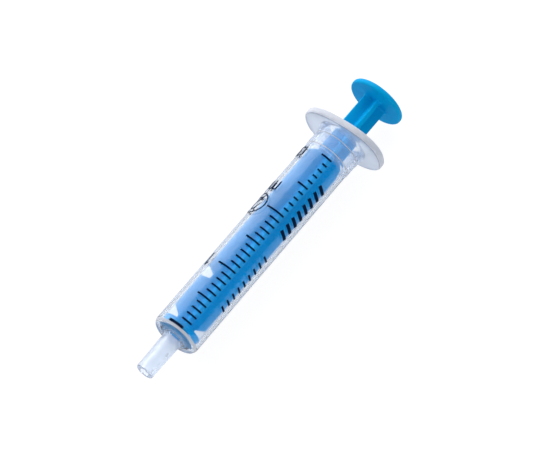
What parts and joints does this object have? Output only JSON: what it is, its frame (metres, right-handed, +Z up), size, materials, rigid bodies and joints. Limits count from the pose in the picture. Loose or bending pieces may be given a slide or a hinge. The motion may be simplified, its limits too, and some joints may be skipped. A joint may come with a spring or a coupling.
{
  "type": "oral syringe",
  "caption": "Small disposable oral syringe: clear graduated barrel with a slip tip and oval finger flange, and a one-piece blue ribbed plunger that slides in it.",
  "frame": {"origin": "middle of the lying syringe's box, on the plane that the finger flange's lower edge touches", "axes": "+X from the tip to the thumb disc along the barrel axis, +Z up, through the printed scale side, Y along the finger flange's long axis"},
  "size_m": [0.0788, 0.0198, 0.0136],
  "materials": {
    "clear_barrel": "semi-clear natural polypropylene, glossy, slightly milky",
    "blue_plunger": "satin moulded polyethylene, mid blue",
    "print_ink": "matt navy pad-printed ink"
  },
  "bodies": {
    "barrel": {"barrel": "clear_barrel", "bracket_left": "print_ink", "bracket_right": "print_ink", "figure_1": "print_ink", "figure_2": "print_ink", "figure_3": "print_ink", "figure_ring": "print_ink", "line_00": "print_ink", "line_01": "print_ink", "line_02": "print_ink", "line_03": "print_ink", "line_04": "print_ink", "line_05": "print_ink", "line_06": "print_ink", "line_07": "print_ink", "line_08": "print_ink", "line_09": "print_ink", "line_10": "print_ink", "line_11": "print_ink", "line_12": "print_ink", "line_13": "print_ink", "line_14": "print_ink", "line_15": "print_ink", "line_16": "print_ink", "line_17": "print_ink", "line_18": "print_ink", "line_19": "print_ink", "line_20": "print_ink", "line_21": "print_ink", "line_22": "print_ink", "line_23": "print_ink", "line_24": "print_ink", "line_25": "print_ink", "line_26": "print_ink", "line_27": "print_ink", "line_28": "print_ink", "line_29": "print_ink", "line_30": "print_ink", "mark_bar_01": "print_ink", "mark_bar_02": "print_ink", "mark_bar_03": "print_ink", "mark_bar_04": "print_ink", "mark_bar_05": "print_ink", "mark_bar_06": "print_ink", "mark_bar_07": "print_ink", "mark_bar_08": "print_ink", "mark_dash_01": "print_ink", "mark_dash_02": "print_ink", "mark_dash_03": "print_ink", "mark_dash_04": "print_ink", "mark_dash_05": "print_ink", "mark_dash_06": "print_ink", "mark_dash_07": "print_ink", "mark_dash_08": "print_ink", "mark_dash_09": "print_ink", "unit_l": "print_ink", "unit_m": "print_ink"},
    "plunger": {"plunger": "blue_plunger"}
  },
  "joints": [
    {"name": "plunger_slide", "type": "slide", "parent": "barrel", "child": "plunger", "axis": [1, 0, 0], "range_m": [0, 0.0483]}
  ]
}
